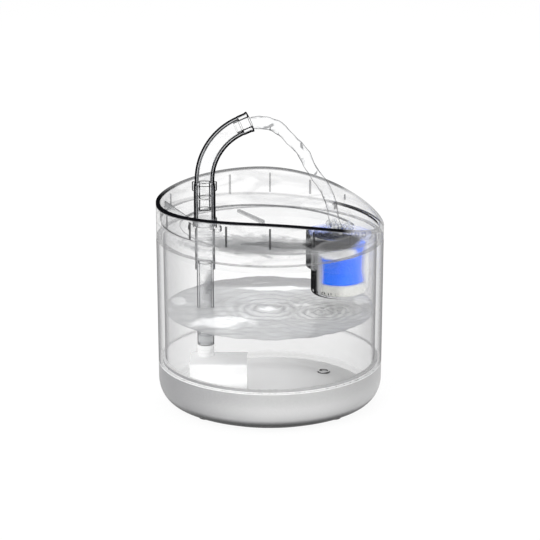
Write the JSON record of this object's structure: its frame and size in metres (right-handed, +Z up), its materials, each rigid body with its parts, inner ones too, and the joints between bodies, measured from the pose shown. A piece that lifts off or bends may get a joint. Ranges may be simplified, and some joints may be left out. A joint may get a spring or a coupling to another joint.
{
  "type": "pet water fountain",
  "caption": "Round clear pet water fountain: bucket, sloped drinking tray, bent spout tube, hanging foam filter cup and submerged pump.",
  "frame": {"origin": "on the table, on the axis of the round bucket", "axes": "+Z up, front is -Y, the spout stands at -X and the filter hangs at +X"},
  "size_m": [0.166, 0.166, 0.2165],
  "materials": {
    "clear_plastic": "clear, polished",
    "smoky_clear": "clear with a light smoky tone, polished",
    "frosted_plastic": "frosted, satin",
    "foot_rubber": "matte",
    "cup_rubber": "matte, translucent",
    "seal_silicone": "satin",
    "white_plastic": "satin moulded",
    "blue_foam": "open-cell foam",
    "white_fibre": "needled fibre",
    "dark_foam": "open-cell foam",
    "lamination_steel": "stacked laminations",
    "copper_wire": "enamelled winding",
    "epoxy": "cast, satin",
    "ceramic": "ground",
    "ferrite": "sintered"
  },
  "bodies": {
    "base": {"bucket_wall": "clear_plastic", "bucket_pan": "frosted_plastic", "foot_ring": "foot_rubber", "riser_tube": "clear_plastic", "pump_outlet": "white_plastic", "pump_housing": "white_plastic", "suction_feet": "cup_rubber", "stator_core": "lamination_steel", "coil_bobbin": "white_plastic", "stator_coil": "copper_wire", "potting": "epoxy", "back_cover": "white_plastic", "cable_gland": "cup_rubber", "rotor_shaft": "ceramic", "shaft_bushes": "foot_rubber", "pump_seal": "seal_silicone", "impeller_cover": "white_plastic"},
    "tray": {"tray_wall": "smoky_clear", "tray_floor": "smoky_clear", "tray_gusset": "smoky_clear", "down_socket": "smoky_clear", "filter_collar": "smoky_clear", "spout_socket": "clear_plastic"},
    "spout": {"spout_tube": "clear_plastic", "spout_seal": "seal_silicone", "spout_nozzle": "clear_plastic"},
    "drain_cover": {"drain_cover": "clear_plastic"},
    "filter": {"filter_cup": "clear_plastic", "blue_foam": "blue_foam", "white_pad": "white_fibre"},
    "intake": {"intake_cap": "white_plastic", "intake_sponge": "dark_foam"},
    "rotor": {"impeller": "white_plastic", "rotor_magnet": "ferrite"}
  },
  "joints": [
    {"name": "tray_lift", "type": "slide", "parent": "base", "child": "tray", "axis": [0, 0, 1], "range_m": [0, 0.07]},
    {"name": "spout_swivel", "type": "hinge", "parent": "tray", "child": "spout", "pos_m": [-0.0475, 0, 0.1629], "axis": [0, 0, 1], "range_deg": [-45, 45]},
    {"name": "cover_lift", "type": "slide", "parent": "tray", "child": "drain_cover", "axis": [0, 0, 1], "range_m": [0, 0.02]},
    {"name": "filter_drop", "type": "slide", "parent": "tray", "child": "filter", "axis": [0, 0, -1], "range_m": [0, 0.025]},
    {"name": "intake_pull", "type": "slide", "parent": "base", "child": "intake", "axis": [-1, 0, 0], "range_m": [0, 0.01]},
    {"name": "rotor_spin", "type": "hinge", "parent": "base", "child": "rotor", "pos_m": [-0.045, -0.008, 0.0202], "axis": [1, 0, 0], "continuous": true}
  ]
}
